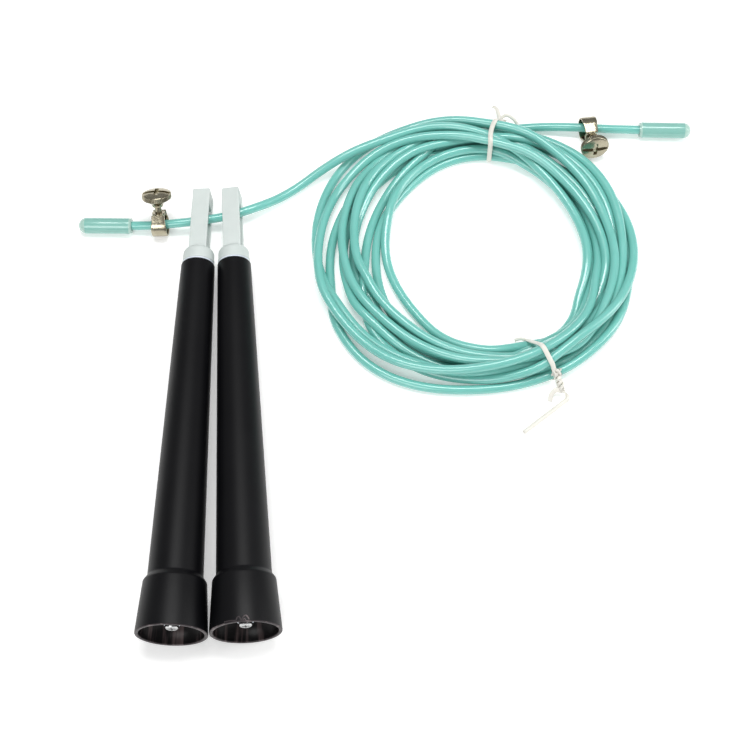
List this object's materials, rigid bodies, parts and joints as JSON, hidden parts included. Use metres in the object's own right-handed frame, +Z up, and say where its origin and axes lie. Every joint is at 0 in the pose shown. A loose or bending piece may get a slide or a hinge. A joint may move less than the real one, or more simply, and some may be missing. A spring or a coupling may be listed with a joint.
{
  "type": "jump rope",
  "caption": "Speed jump rope with tapered tube handles on swivel heads and a coiled plastic cord with screw stops and end caps, tied for storage.",
  "frame": {"origin": "on the floor, at the middle of the box round the two handles as they lie side by side, without the cord and the pieces on it", "axes": "+Z up from the floor; +Y from the open cup ends of the handles to their eyes; +X to the right, from the handles to the coil"},
  "size_m": [0.2785, 0.2551, 0.0285],
  "materials": {
    "black_abs": "satin moulded",
    "white_nylon": "matte moulded",
    "steel": "plated",
    "nickel": "warm nickel plate",
    "cap_vinyl": "translucent soft vinyl",
    "tie_plastic": "coated tie",
    "cord_pvc": "glossy extruded"
  },
  "bodies": {
    "rope": {"cord_coil": "cord_pvc", "cord_left_run": "cord_pvc", "cord_right_run": "cord_pvc", "coil_tie_top": "tie_plastic", "coil_tie_bottom": "tie_plastic"},
    "left_head": {"left_swivel_head": "white_nylon", "left_axle": "steel", "left_thrust_washer": "white_nylon", "left_rear_washer": "white_nylon", "left_end_screw": "steel"},
    "left_grip": {"left_grip_shell": "black_abs", "left_front_bush": "white_nylon", "left_bearing_plate": "black_abs"},
    "left_stop": {"left_stop_ring": "nickel"},
    "left_screw": {"left_stop_screw": "nickel"},
    "left_knob": {"left_stop_knob": "nickel"},
    "left_cap": {"left_end_cap": "cap_vinyl"},
    "right_head": {"right_swivel_head": "white_nylon", "right_axle": "steel", "right_thrust_washer": "white_nylon", "right_rear_washer": "white_nylon", "right_end_screw": "steel"},
    "right_grip": {"right_grip_shell": "black_abs", "right_front_bush": "white_nylon", "right_bearing_plate": "black_abs"},
    "right_stop": {"right_stop_ring": "nickel"},
    "right_screw": {"right_stop_screw": "nickel"},
    "right_knob": {"right_stop_knob": "nickel"},
    "right_cap": {"right_end_cap": "cap_vinyl"}
  },
  "joints": [
    {"name": "left_handle_slide", "type": "slide", "parent": "rope", "child": "left_head", "axis": [0.9954, 0.0958, 0], "range_m": [-0.0075, 0]},
    {"name": "right_handle_swing", "type": "hinge", "parent": "rope", "child": "right_head", "pos_m": [0.00064, 0.09044, 0.00626], "axis": [0, 0, 1], "range_deg": [0, 15]},
    {"name": "left_grip_spin", "type": "hinge", "parent": "left_head", "child": "left_grip", "pos_m": [-0.01338, 0.06425, 0.00732], "axis": [0.0061, 0.9991, -0.0414], "continuous": true},
    {"name": "right_grip_spin", "type": "hinge", "parent": "right_head", "child": "right_grip", "pos_m": [0.00247, 0.06493, 0.00732], "axis": [-0.0714, 0.9966, -0.0414], "continuous": true},
    {"name": "left_stop_slide", "type": "slide", "parent": "rope", "child": "left_stop", "axis": [1, 0, 0], "range_m": [-0.0085, 0]},
    {"name": "left_screw_travel", "type": "slide", "parent": "left_stop", "child": "left_screw", "axis": [-0.03, 0.545, 0.8379], "range_m": [-0.0025, 0.0005]},
    {"name": "left_knob_turn", "type": "hinge", "parent": "left_screw", "child": "left_knob", "pos_m": [-0.0317, 0.0864, 0.0055], "axis": [-0.03, 0.545, 0.8379], "range_deg": [-1800, 360]},
    {"name": "right_stop_slide", "type": "slide", "parent": "rope", "child": "right_stop", "axis": [1, 0, 0], "range_m": [0, 0.0165]},
    {"name": "right_screw_travel", "type": "slide", "parent": "right_stop", "child": "right_screw", "axis": [0.16, -0.965, 0.208], "range_m": [-0.0005, 0.0005]},
    {"name": "right_knob_turn", "type": "hinge", "parent": "right_screw", "child": "right_knob", "pos_m": [0.1626, 0.1378, 0.0055], "axis": [0.16, -0.965, 0.208], "range_deg": [-360, 360]},
    {"name": "left_cap_pull", "type": "slide", "parent": "rope", "child": "left_cap", "axis": [-0.9999, 0.0118, 0], "range_m": [0, 0.02]},
    {"name": "right_cap_pull", "type": "slide", "parent": "rope", "child": "right_cap", "axis": [0.9998, -0.0197, 0], "range_m": [0, 0.02]}
  ],
  "couplings": [
    {"joint": "left_knob_turn", "follows": "left_screw_travel", "rad_per_m": 12566},
    {"joint": "right_knob_turn", "follows": "right_screw_travel", "rad_per_m": 12566}
  ]
}
